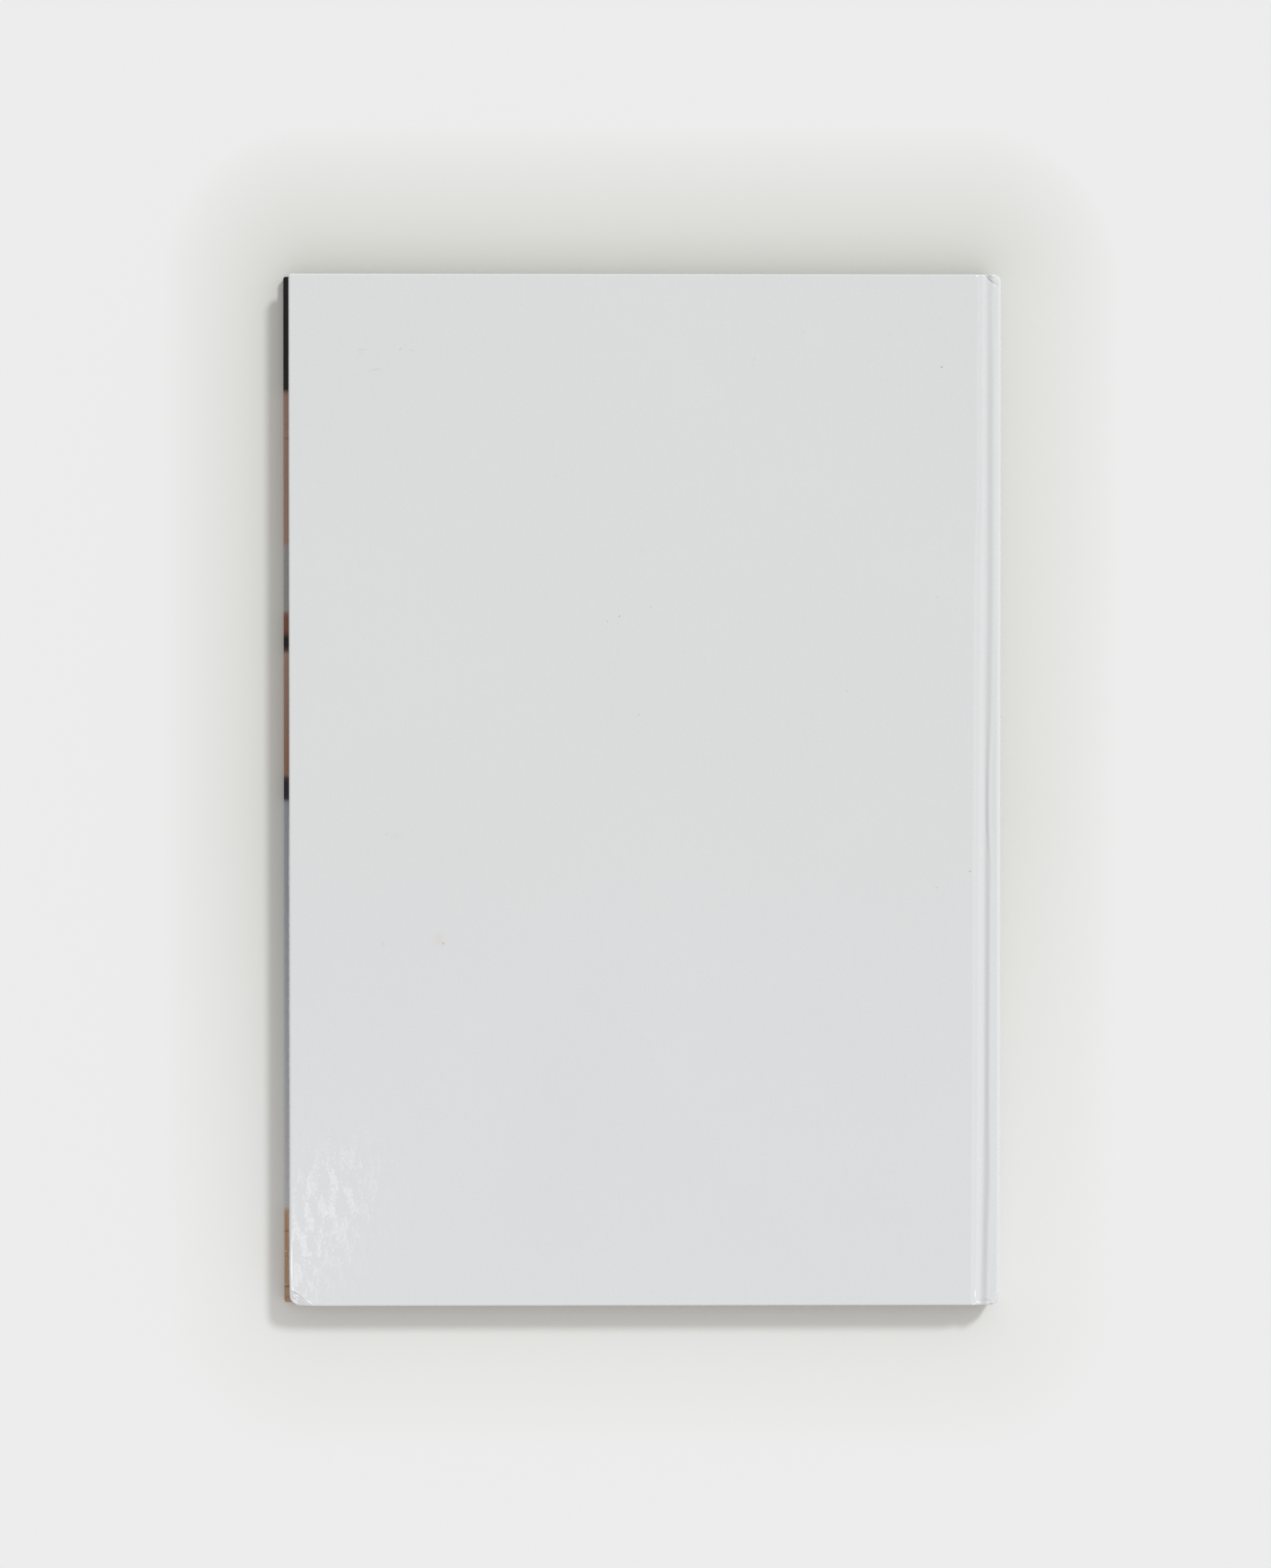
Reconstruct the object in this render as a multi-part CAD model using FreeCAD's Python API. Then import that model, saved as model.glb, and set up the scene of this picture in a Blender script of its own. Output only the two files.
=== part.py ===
import FreeCAD, Part
import math
import os

# A thin hardback picture book, lying on its front cover with the back cover up.
# The spine is towards +X and the head of the pages towards +Y. The origin is under
# the middle of the book, on the surface that it lies on. All sizes are in millimetres.

# The case: two boards and a spine strip, covered with one sheet of laminated paper.
# The sheet and the endpapers are divided where a board begins to move with its cover.
book_thickness = 11.0  # over both covers
cover_height = 303.0  # head to tail, over the covering
cover_width = 200.1  # fore edge to joint edge, over the covering
joint_width = 8.9  # joint edge of the back cover to the outermost line of the spine
lean = 2.2  # how far the case leans: the front cover lies this much nearer the fore edge
board_thickness = 2.5
board_edge_round = 0.25
covering_thickness = 0.25
turn_in_width = 15.0  # covering folded over onto the inside of the boards
mitre_gap = 0.2  # between the two turn-ins that meet at a corner
mitre_stop = 1.6  # where the mitre starts, from each edge of the cover
corner_round = 1.0  # seen from above
bumped_corner_round = 2.3  # the tail corner that has been knocked, on the back cover

# The spine and the two pressed joints beside it
spine_card_thickness = 1.6
spine_drop = 0.4  # long edges of the spine, lower than the outer faces of the covers
spine_bend_radius = 1.3  # of the covering round the long edges of the spine
groove_depth = 0.9  # below the outer faces of the covers
groove_lip = 0.9  # flat covering past a board before it drops
groove_floor_width = 0.6
groove_offset = 0.15  # floor of the groove, off the middle of the joint towards the spine
groove_bend_radius = 1.6
lip_bend_radius = 0.8  # where the covering drops from a board or from the spine strip
turn_in_bend_radius = 0.4

# The leaves: folded sections between two endpapers, backed with gauze
square = 3.0  # how far the covers stand out past the leaves
endpaper_thickness = 0.18
section_count = 4
section_fold_depth = 0.35  # depth of the notch between two folded sections
spine_gap = 0.3  # hollow between the gauze and the inside of the case
gauze_end_gap = 0.5  # gauze to the turn-ins at head and tail
gauze_flap_width = 25.0  # glued down on each board
gauze_bend_radius = 0.3

# Worked out from the sizes above
gauze_thickness = covering_thickness  # so that an endpaper lies level over both
half_height = cover_height / 2
half_leaf = half_height - square
half_width = (cover_width + joint_width + lean) / 2
slope = lean / book_thickness
lean_cosine = math.cos(math.atan(slope))
lean_sine = math.sin(math.atan(slope))
back_fore_edge = lean - half_width
front_fore_edge = -half_width
back_joint_edge = back_fore_edge + cover_width
front_joint_edge = front_fore_edge + cover_width

# Heights of the layers, from the outside of a cover inwards
board_top = covering_thickness + board_thickness
turn_in_top = board_top + covering_thickness
pastedown_top = turn_in_top + endpaper_thickness
flyleaf_top = pastedown_top + endpaper_thickness

# Depths of the layers, from the outside of the spine inwards
card_depth = covering_thickness + spine_card_thickness
case_depth = card_depth + covering_thickness
gauze_depth = case_depth + spine_gap
leaf_depth = gauze_depth + gauze_thickness

# Where the outer plane of the spine would meet the top of the back cover
outer_bend = spine_bend_radius + covering_thickness / 2
spine_top_x = half_width + slope * spine_drop + outer_bend * (slope + 1 / lean_cosine - 1)


def spine_x(z, depth):
    # X of the plane that lies a given depth inside the leaning spine, at height z
    return spine_top_x - slope * (book_thickness - z) - depth / lean_cosine


def fore_x(z):
    # X of the leaves' fore edge at height z
    return back_fore_edge + square - slope * (book_thickness - z)


def facing(z):
    # The same layer of the back cover, for a height given on the front cover
    return book_thickness - z


def box(x0, x1, y0, y1, z0, z1):
    return Part.makeBox(x1 - x0, y1 - y0, z1 - z0, FreeCAD.Vector(x0, y0, z0))


def outline(corners):
    # A closed face in the XZ plane. Each corner is x, z and the radius that rounds it.
    points = [FreeCAD.Vector(x, 0, z) for x, z, radius in corners]
    starts = []
    ends = []
    arcs = []
    for index, here in enumerate(points):
        radius = corners[index][2]
        back = (points[index - 1] - here).normalize()
        ahead = (points[(index + 1) % len(points)] - here).normalize()
        half_turn = (math.pi - back.getAngle(ahead)) / 2
        reach = radius * math.tan(half_turn)
        starts.append(here + back * reach)
        ends.append(here + ahead * reach)
        if radius > 0:
            inward = (back + ahead).normalize()
            middle = here + inward * (radius / math.cos(half_turn) - radius)
            arcs.append(Part.Arc(starts[-1], middle, ends[-1]).toShape())
        else:
            arcs.append(None)
    edges = []
    for index, arc in enumerate(arcs):
        edges.append(Part.makeLine(ends[index - 1], starts[index]))
        if arc is not None:
            edges.append(arc)
    return Part.Face(Part.Wire(edges))


def side(path, offset):
    # The corners of a path moved sideways, to the left for a positive offset
    corners = []
    for index, (x, z, radius) in enumerate(path):
        here = FreeCAD.Vector(x, 0, z)
        runs = []
        if index > 0:
            runs.append((here - FreeCAD.Vector(path[index - 1][0], 0, path[index - 1][1])).normalize())
        if index < len(path) - 1:
            runs.append((FreeCAD.Vector(path[index + 1][0], 0, path[index + 1][1]) - here).normalize())
        normals = [FreeCAD.Vector(-run.z, 0, run.x) for run in runs]
        across = normals[0] + normals[-1]
        moved = here + across * (offset / (1 + normals[0].dot(normals[-1])))
        turn = runs[0].x * runs[-1].z - runs[0].z * runs[-1].x
        bend = radius - math.copysign(offset, offset * turn) if radius > 0 else 0
        corners.append((moved.x, moved.z, bend))
    return corners


def extrude(face, y0, y1):
    face = face.translated(FreeCAD.Vector(0, y0, 0))
    return face.extrude(FreeCAD.Vector(0, y1 - y0, 0))


def vertical_edges(solid, x, y):
    # Edges that stand upright at x, y
    found = []
    for edge in solid.Edges:
        ends = [vertex.Point for vertex in edge.Vertexes]
        if all(abs(end.x - x) < 0.001 and abs(end.y - y) < 0.001 for end in ends):
            found.append(edge)
    return found


def rim_edges(solid, joint_x):
    # Edges round the outer and inner faces of a cover, apart from those at its joint
    low = solid.BoundBox.ZMin
    high = solid.BoundBox.ZMax
    found = []
    for edge in solid.Edges:
        flat = abs(edge.BoundBox.ZLength) < 0.001
        level = min(abs(edge.BoundBox.ZMin - low), abs(edge.BoundBox.ZMax - high)) < 0.001
        at_joint = edge.BoundBox.XMin > joint_x - 0.001
        if flat and level and not at_joint:
            found.append(edge)
    return found


def slab(inset, z0, z1, head_round, tail_round, rim_round):
    # A flat cover or board, fore edge at x = inset, with rounded fore corners and rims
    edge_y = half_height - inset
    solid = box(inset, cover_width, -edge_y, edge_y, z0, z1)
    solid = solid.makeFillet(head_round, vertical_edges(solid, inset, edge_y))
    solid = solid.makeFillet(tail_round, vertical_edges(solid, inset, -edge_y))
    return solid.makeFillet(rim_round, rim_edges(solid, cover_width))


def mitre(tail):
    # The narrow slot between two turn-ins, along the diagonal of a fore corner
    half_gap = mitre_gap / 2
    direction = -1 if tail else 1
    corner_y = direction * half_height
    step = half_gap * math.sqrt(2)
    near = mitre_stop
    far = turn_in_width + mitre_gap
    points = [
        FreeCAD.Vector(near - step, corner_y - direction * near, board_top),
        FreeCAD.Vector(near, corner_y - direction * (near - step), board_top),
        FreeCAD.Vector(far, corner_y - direction * (far - step), board_top),
        FreeCAD.Vector(far - step, corner_y - direction * far, board_top),
    ]
    face = Part.Face(Part.makePolygon(points + points[:1]))
    return face.extrude(FreeCAD.Vector(0, 0, covering_thickness))


def board(tail_round):
    return slab(
        covering_thickness,
        covering_thickness,
        board_top,
        corner_round - covering_thickness,
        tail_round - covering_thickness,
        board_edge_round,
    )


def covering(tail_round):
    # Paper over the outside of a board and folded in at head, tail and fore edge
    rim = board_edge_round + covering_thickness
    wrapped = slab(0, 0, turn_in_top, corner_round, tail_round, rim)
    window_y = half_height - turn_in_width
    window = box(turn_in_width, cover_width, -window_y, window_y, board_top, turn_in_top)
    return wrapped.cut([board(tail_round), window, mitre(False), mitre(True)])


def gauze_half_length():
    return half_height - turn_in_width - gauze_end_gap


def gauze_flap():
    # The gauze glued down on the inside of a board, beside its joint
    reach = gauze_half_length()
    return box(cover_width - gauze_flap_width, cover_width, -reach, reach, board_top, turn_in_top)


def pastedown():
    # Half an endpaper, glued to the board inside the turn-ins and sunk between them
    sheet = box(square, cover_width, -half_leaf, half_leaf, turn_in_top, pastedown_top)
    far_x = cover_width - gauze_flap_width
    sunk_y = half_height - turn_in_width
    sunk = box(turn_in_width, far_x, -sunk_y, sunk_y, board_top, turn_in_top)
    hollow = box(
        turn_in_width + endpaper_thickness,
        far_x - endpaper_thickness,
        -sunk_y + endpaper_thickness,
        sunk_y - endpaper_thickness,
        board_top + endpaper_thickness,
        pastedown_top,
    )
    return sheet.fuse(sunk).cut(hollow).removeSplitter()


def as_front(solid):
    # From a cover's own place to the bottom of the book
    return solid.translated(FreeCAD.Vector(front_fore_edge, 0, 0))


def as_back(solid):
    # Turned over in height to the top of the book, with the outside up
    turned = solid.mirror(FreeCAD.Vector(0, 0, book_thickness / 2), FreeCAD.Vector(0, 0, 1))
    return turned.translated(FreeCAD.Vector(back_fore_edge, 0, 0))


def joint_corners(joint_edge, shoulder, heights):
    # Middle line of the covering through one joint, from the board to the spine. The
    # heights are those on the cover, in the groove and on the spine.
    cover_z, floor_z, spine_z = heights
    lip = joint_edge + groove_lip
    floor_middle = (lip + shoulder) / 2 + groove_offset
    return [
        (joint_edge, cover_z, 0),
        (lip, cover_z, lip_bend_radius),
        (floor_middle - groove_floor_width / 2, floor_z, groove_bend_radius),
        (floor_middle + groove_floor_width / 2, floor_z, groove_bend_radius),
        (shoulder, spine_z, lip_bend_radius),
    ]


def spine_strip():
    low = spine_drop + covering_thickness
    high = facing(low)
    bend = spine_bend_radius - covering_thickness / 2
    face = outline([
        (spine_x(high, card_depth), high, 0),
        (spine_x(high, covering_thickness), high, bend),
        (spine_x(low, covering_thickness), low, bend),
        (spine_x(low, card_depth), low, 0),
    ])
    reach = half_height - covering_thickness
    return extrude(face, -reach, reach)


def spine_covering():
    # Covering from board to board: joint, spine, joint, with its ends folded in over
    # the spine strip at head and tail
    half = covering_thickness / 2
    low_heights = (half, groove_depth + half, spine_drop + half)
    high_heights = [facing(z) for z in low_heights]
    low = low_heights[-1]
    high = high_heights[-1]
    low_shoulder = spine_x(low, card_depth) - lip_bend_radius
    high_shoulder = spine_x(high, card_depth) - lip_bend_radius
    outside = joint_corners(back_joint_edge, high_shoulder, high_heights)
    outside.append((spine_x(high, half), high, spine_bend_radius))
    outside.append((spine_x(low, half), low, spine_bend_radius))
    outside += reversed(joint_corners(front_joint_edge, low_shoulder, low_heights))

    low_fold = board_top + half
    high_fold = facing(low_fold)
    inside = [
        (back_joint_edge, high_fold, 0),
        (spine_x(high_fold, card_depth + half), high_fold, turn_in_bend_radius),
        (spine_x(low_fold, card_depth + half), low_fold, turn_in_bend_radius),
        (front_joint_edge, low_fold, 0),
    ]
    outer_layer = outline(side(outside, half) + side(outside, -half)[::-1])
    inner_layer = outline(side(inside, half) + side(inside, -half)[::-1])
    end_fold = outline(side(outside, half) + side(inside, -half)[::-1])
    fold_start = half_height - covering_thickness
    turn_in_end = half_height - turn_in_width
    sheet = extrude(outer_layer, -half_height, half_height)
    folded = [
        extrude(end_fold, fold_start, half_height),
        extrude(end_fold, -half_height, -fold_start),
        extrude(inner_layer, turn_in_end, half_height),
        extrude(inner_layer, -half_height, -turn_in_end),
    ]
    return sheet.fuse(folded).removeSplitter()


def spine_gauze():
    # Open cloth glued to the folds of the sections, reaching over both joints
    low_in = turn_in_top
    low_out = board_top
    high_in = facing(low_in)
    high_out = facing(low_out)
    face = outline([
        (back_joint_edge, high_in, 0),
        (back_joint_edge, high_out, 0),
        (spine_x(high_out, gauze_depth), high_out, gauze_bend_radius),
        (spine_x(low_out, gauze_depth), low_out, gauze_bend_radius),
        (front_joint_edge, low_out, 0),
        (front_joint_edge, low_in, 0),
        (spine_x(low_in, leaf_depth), low_in, 0),
        (spine_x(high_in, leaf_depth), high_in, 0),
    ])
    reach = gauze_half_length()
    return extrude(face, -reach, reach)


def endpaper(joint_edge, heights):
    # The free half of an endpaper, with the strip that folds back across the joint.
    # The heights are its face on the leaves, its face on the cover, and the strip's.
    leaf_z, cover_z, strip_z = heights
    face = outline([
        (fore_x(leaf_z), leaf_z, 0),
        (spine_x(leaf_z, leaf_depth), leaf_z, 0),
        (spine_x(strip_z, leaf_depth), strip_z, 0),
        (joint_edge, strip_z, 0),
        (joint_edge, cover_z, 0),
        (fore_x(cover_z), cover_z, 0),
    ])
    return extrude(face, -half_leaf, half_leaf)


def page_block():
    # All the leaves: square at the trimmed fore edge, and a row of rounded folds
    # where the sections meet the gauze
    low = flyleaf_top
    high = facing(low)
    notch = leaf_depth + section_fold_depth
    crown = FreeCAD.Vector(lean_cosine, 0, -lean_sine) * section_fold_depth
    levels = [low + (high - low) * index / section_count for index in range(section_count + 1)]
    notches = [FreeCAD.Vector(spine_x(z, notch), 0, z) for z in levels]
    edges = []
    for below, above in zip(notches, notches[1:]):
        edges.append(Part.Arc(below, (below + above) / 2 + crown, above).toShape())
    top_fore = FreeCAD.Vector(fore_x(high), 0, high)
    low_fore = FreeCAD.Vector(fore_x(low), 0, low)
    edges.append(Part.makeLine(notches[-1], top_fore))
    edges.append(Part.makeLine(top_fore, low_fore))
    edges.append(Part.makeLine(low_fore, notches[0]))
    return extrude(Part.Face(Part.Wire(edges)), -half_leaf, half_leaf)


front_layers = (flyleaf_top, pastedown_top, turn_in_top)
back_layers = [facing(z) for z in front_layers]

pieces = {
    "back_board": as_back(board(bumped_corner_round)),
    "back_covering": as_back(covering(bumped_corner_round)),
    "back_gauze_flap": as_back(gauze_flap()),
    "back_pastedown": as_back(pastedown()),
    "front_board": as_front(board(corner_round)),
    "front_covering": as_front(covering(corner_round)),
    "front_gauze_flap": as_front(gauze_flap()),
    "front_pastedown": as_front(pastedown()),
    "spine_strip": spine_strip(),
    "spine_covering": spine_covering(),
    "spine_gauze": spine_gauze(),
    "back_endpaper": endpaper(back_joint_edge, back_layers),
    "front_endpaper": endpaper(front_joint_edge, front_layers),
    "page_block": page_block(),
}

os.makedirs("parts", exist_ok=True)
for name, shape in pieces.items():
    shape.exportStep(os.path.join("parts", name + ".step"))
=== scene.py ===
import bpy
import bmesh
import math
import random
from mathutils import Matrix, Vector, noise


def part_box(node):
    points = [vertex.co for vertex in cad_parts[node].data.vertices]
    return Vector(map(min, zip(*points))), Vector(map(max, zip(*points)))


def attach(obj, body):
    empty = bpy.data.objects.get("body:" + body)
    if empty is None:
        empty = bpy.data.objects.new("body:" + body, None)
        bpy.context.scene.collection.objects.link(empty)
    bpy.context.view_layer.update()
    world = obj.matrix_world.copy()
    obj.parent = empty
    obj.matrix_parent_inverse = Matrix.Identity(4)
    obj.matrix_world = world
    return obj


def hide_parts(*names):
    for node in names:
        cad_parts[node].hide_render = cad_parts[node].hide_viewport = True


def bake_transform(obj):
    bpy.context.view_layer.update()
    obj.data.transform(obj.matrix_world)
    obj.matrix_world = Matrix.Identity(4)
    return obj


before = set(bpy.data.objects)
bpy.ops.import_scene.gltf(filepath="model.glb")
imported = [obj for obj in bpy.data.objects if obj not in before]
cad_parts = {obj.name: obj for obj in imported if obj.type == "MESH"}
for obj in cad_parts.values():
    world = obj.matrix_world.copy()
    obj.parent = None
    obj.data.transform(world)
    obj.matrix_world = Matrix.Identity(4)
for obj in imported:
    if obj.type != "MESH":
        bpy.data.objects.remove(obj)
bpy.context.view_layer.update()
mm = 0.001

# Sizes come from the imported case, in millimetres. Points are in millimetres too,
# and makePiece turns them into metres.
backLow, backHigh = [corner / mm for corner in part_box("back_covering")]
frontLow, frontHigh = [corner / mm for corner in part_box("front_covering")]
spineLow, spineHigh = [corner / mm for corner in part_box("spine_covering")]
pastedownLow, pastedownHigh = [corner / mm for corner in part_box("back_pastedown")]
leafLow, leafHigh = [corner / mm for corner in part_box("page_block")]

case = {
    "sheet": 0.25,          # thickness of the covering
    "rimRound": 0.5,        # where it folds round the edge of a board
    "turnIn": 15.0,
    "coverThick": 3.0,      # a board with the covering on both sides
    "boardTop": 2.75,       # inner face of a board, from the outside of its cover
    "square": 3.0,          # how far the covers stand out past the leaves
    "gauzeFlap": 25,
    "mitreGap": 0.01,
    "cornerRound": 0.7,     # fore corners, seen from above
    "knockedRound": 2.2,    # the crushed tail corner of the back cover
    # how far the foot of the back board's fore edge has spread, from head to tail
    "foreSpread": [(-151.5, 0.2), (-10.0, 0.2), (30.0, 0.42), (140.0, 0.45), (151.5, 0.2)],
    "spineRound": 1.425,
    "innerRound": 0.25,
    "spineDrop": 0.4,       # long edges of the spine, below the covers
    "cardDepth": 1.85,
    "caseDepth": 2.1,
    "gauzeDepth": 2.4,
    "leafDepth": 2.65,
    "paper": 0.18,
}
thickness = backHigh.z
halfHeight = backHigh.y
lean = (backLow.x - frontLow.x) / thickness
leanAngle = math.atan(lean)
leanCosine = math.cos(leanAngle)
spineTop = (spineHigh.x - case["spineRound"] + case["spineRound"] / leanCosine
            + lean * (case["spineDrop"] + case["spineRound"]))


def spinePlace(z, depth):
    # x of a layer that lies that deep inside the leaning spine
    return spineTop - lean * (thickness - z) - depth / leanCosine


def smoothStep(low, high, value):
    share = min(max((value - low) / (high - low), 0), 1)
    return share * share * (3 - 2 * share)


def mix(a, b, share):
    return a + (b - a) * share


def spread(low, high, count):
    return [low + (high - low) * i / (count - 1) for i in range(count)]


def smoothCurve(knots, x):
    # A curve through the knots that never overshoots them
    if x <= knots[0][0]:
        return knots[0][1]
    if x >= knots[-1][0]:
        return knots[-1][1]
    rises = [(b[1] - a[1]) / (b[0] - a[0]) for a, b in zip(knots, knots[1:])]
    slopes = [0] + [2 * a * b / (a + b) if a * b > 0 else 0 for a, b in zip(rises, rises[1:])] + [0]
    for i, (a, b) in enumerate(zip(knots, knots[1:])):
        if x <= b[0]:
            width = b[0] - a[0]
            t = (x - a[0]) / width
            return (a[1] * (1 + 2 * t) * (1 - t) ** 2 + b[1] * t * t * (3 - 2 * t)
                    + width * t * (1 - t) * (slopes[i] * (1 - t) - slopes[i + 1] * t))


def lineDistance(line, x, y):
    nearest = 1e9
    for (ax, ay), (bx, by) in zip(line, line[1:]):
        dx, dy = bx - ax, by - ay
        t = min(max(((x - ax) * dx + (y - ay) * dy) / (dx * dx + dy * dy), 0), 1)
        nearest = min(nearest, math.hypot(x - ax - t * dx, y - ay - t * dy))
    return nearest


def creaseDepth(creases, x, y):
    # Sum of the creases and ridges near a point, ridges being negative
    total = 0
    for line, depth, width in creases:
        away = lineDistance(line, x, y)
        if away < 3 * width:
            total += depth * math.exp(-(away / width) ** 2)
    return total


def gridFaces(count, width, flip=False):
    quads = [(i * width + j, (i + 1) * width + j, (i + 1) * width + j + 1, i * width + j + 1)
             for i in range(count - 1) for j in range(width - 1)]
    return [quad[::-1] for quad in quads] if flip else quads


def addObject(name, data):
    item = bpy.data.objects.new(name, data)
    bpy.context.scene.collection.objects.link(item)
    return item


def makePiece(name, points, faces, places=None, rims=None, weld=False, closed=False,
              sheet=0, sharp=40):
    # places is where each point lies on the flat sheet, rims how near it is to an edge
    mesh = bpy.data.meshes.new(name)
    mesh.from_pydata([Vector(point) * mm for point in points], [], faces)
    if places:
        layer = mesh.attributes.new("sheetPlace", "FLOAT_VECTOR", "POINT")
        for i, place in enumerate(places):
            layer.data[i].vector = Vector((place[0], place[1], 0)) * mm
    if rims:
        layer = mesh.attributes.new("rimShare", "FLOAT", "POINT")
        layer.data.foreach_set("value", rims)
    if weld or closed:
        work = bmesh.new()
        work.from_mesh(mesh)
        if weld:
            bmesh.ops.remove_doubles(work, verts=work.verts, dist=1e-7)
        if closed:
            bmesh.ops.recalc_face_normals(work, faces=work.faces)
        work.to_mesh(mesh)
        work.free()
    piece = addObject(name, mesh)
    if sheet:
        solidify = piece.modifiers.new("sheet", "SOLIDIFY")
        solidify.thickness = sheet * mm
        solidify.offset = -1
        solidify.use_even_offset = True
        bpy.context.view_layer.update()
        graph = bpy.context.evaluated_depsgraph_get()
        solid = bpy.data.meshes.new_from_object(piece.evaluated_get(graph))
        piece.modifiers.clear()
        piece.data = solid
        solid.name = name
    piece.data.shade_smooth()
    piece.data.set_sharp_from_angle(angle=math.radians(sharp))
    return piece


def finishWith(piece, material):
    piece.data.materials.clear()
    piece.data.materials.append(material)
    return piece


# ---- camera, floor and light ----
view = {
    "place": (-0.0133, 0.0182, 1.1614),     # a little off the middle of the book
    "target": (-0.0018, 0.0020, 0.011),
    "lens": 90,
    "sensor": 36,
}
light = {
    "sky": 0.592,
    "skyTint": (1.0, 0.985, 0.97, 1),
    "skySlant": 0.30,       # the room is brighter towards the side of the key lamp
    "skyFrom": (0.69, 0.05, 0.72),
    "key": 1.40,
    "keyTint": (0.943, 0.972, 1.0),
    "keyFrom": (0.474, 0.55, 0.687),
    "keySoftness": 9,
    "patchPlace": (-0.1850, -0.2803, 1.16), # small lamp seen in the gloss of the cover
    "patchFacing": (-0.097, -0.115, 0),
    "patchSize": (0.024, 0.11),
    "patchPower": 0.031,
}

cameraData = bpy.data.cameras.new("cameraAbove")
cameraData.lens = view["lens"]
cameraData.sensor_width = view["sensor"]
cameraData.clip_start = 0.01
cameraAbove = addObject("cameraAbove", cameraData)
cameraAbove.location = view["place"]
backwards = (Vector(view["place"]) - Vector(view["target"])).normalized()
sideways = Vector((0, 1, 0)).cross(backwards).normalized()
cameraAbove.rotation_euler = Matrix((sideways, backwards.cross(sideways), backwards)).transposed().to_euler()
bpy.context.scene.camera = cameraAbove
bpy.context.scene.view_settings.view_transform = "Standard"

world = bpy.data.worlds.new("softRoom")
bpy.context.scene.world = world
world.use_nodes = True
sky = world.node_tree.nodes["Background"]
sky.inputs["Color"].default_value = light["skyTint"]
skyPlace = world.node_tree.nodes.new("ShaderNodeTexCoord")
skyTowards = world.node_tree.nodes.new("ShaderNodeVectorMath")
skyTowards.operation = "DOT_PRODUCT"
skyTowards.inputs[1].default_value = light["skyFrom"]
skyLevel = world.node_tree.nodes.new("ShaderNodeMath")
skyLevel.operation = "MULTIPLY_ADD"
skyLevel.inputs[1].default_value, skyLevel.inputs[2].default_value = light["skySlant"], light["sky"]
for given, taken in ((skyPlace.outputs["Generated"], skyTowards.inputs[0]),
                     (skyTowards.outputs["Value"], skyLevel.inputs[0]),
                     (skyLevel.outputs["Value"], sky.inputs["Strength"])):
    world.node_tree.links.new(given, taken)

keyData = bpy.data.lights.new("keyLamp", "SUN")
keyData.energy = light["key"]
keyData.angle = math.radians(light["keySoftness"])
keyData.color = light["keyTint"]
keyLamp = addObject("keyLamp", keyData)
keyLamp.rotation_euler = Vector(light["keyFrom"]).to_track_quat("Z", "Y").to_euler()

patchData = bpy.data.lights.new("patchLamp", "AREA")
patchData.shape = "RECTANGLE"
patchData.size, patchData.size_y = light["patchSize"]
patchData.energy = light["patchPower"]
patchLamp = addObject("patchLamp", patchData)
patchLamp.location = light["patchPlace"]
toBook = Vector(light["patchFacing"]) - Vector(light["patchPlace"])
patchLamp.rotation_euler = toBook.to_track_quat("-Z", "Y").to_euler()


# ---- shared node groups ----
def plug(tree, socket, value):
    # value is another node's socket or a plain value
    if isinstance(value, bpy.types.NodeSocket):
        tree.links.new(value, socket)
    else:
        socket.default_value = value


def addNode(tree, kind, values=None, **settings):
    node = tree.nodes.new("ShaderNode" + kind)
    for name, value in settings.items():
        setattr(node, name, value)
    for socket, value in (values or {}).items():
        plug(tree, node.inputs[socket], value)
    return node


def calculate(tree, operation, *values):
    return addNode(tree, "Math", dict(enumerate(values)), operation=operation).outputs["Value"]


def vectorMath(tree, operation, *values):
    node = addNode(tree, "VectorMath", dict(enumerate(values)), operation=operation)
    return node.outputs["Value" if operation in ("LENGTH", "DISTANCE") else "Vector"]


def mapRange(tree, value, fromLow, fromHigh, toLow=0.0, toHigh=1.0, curve="LINEAR"):
    sockets = {"Value": value, "From Min": fromLow, "From Max": fromHigh, "To Min": toLow, "To Max": toHigh}
    return addNode(tree, "MapRange", sockets, interpolation_type=curve).outputs["Result"]


def addNoise(tree, place, scale, detail, roughness=0.5):
    sockets = {"Vector": place, "Scale": scale, "Detail": detail, "Roughness": roughness}
    return addNode(tree, "TexNoise", sockets).outputs


def turnFlat(tree, place, angle):
    sockets = {"Vector": place, "Angle": angle}
    return addNode(tree, "VectorRotate", sockets, rotation_type="Z_AXIS").outputs["Vector"]


def startGroup(name, vectors, floats, results):
    group = bpy.data.node_groups.new(name, "ShaderNodeTree")
    for socketNames, kind in ((vectors, "NodeSocketVector"), (floats, "NodeSocketFloat")):
        for socketName in socketNames:
            group.interface.new_socket(socketName, in_out="INPUT", socket_type=kind)
    for socketName in results:
        group.interface.new_socket(socketName, in_out="OUTPUT", socket_type="NodeSocketFloat")
    given, out = group.nodes.new("NodeGroupInput"), group.nodes.new("NodeGroupOutput")
    return group, [given.outputs[socketName] for socketName in vectors + floats], out.inputs


def makePaperGrain():
    # Short fibres and slow clouding, for every kind of paper and board
    group, (place, fibreScale, cloudScale), out = startGroup(
        "paperGrain", ["Place"], ["Fibre Scale", "Cloud Scale"], ["Fibres", "Clouds"])
    waver = addNoise(group, place, 300.0, 2.0)["Color"]
    warped = vectorMath(group, "MULTIPLY_ADD", waver, (0.0012, 0.0012, 0.0012), place)
    plug(group, out["Fibres"], addNoise(group, warped, fibreScale, 3.0, 0.65)["Fac"])
    plug(group, out["Clouds"], addNoise(group, place, cloudScale, 4.0, 0.55)["Fac"])
    return group


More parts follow.
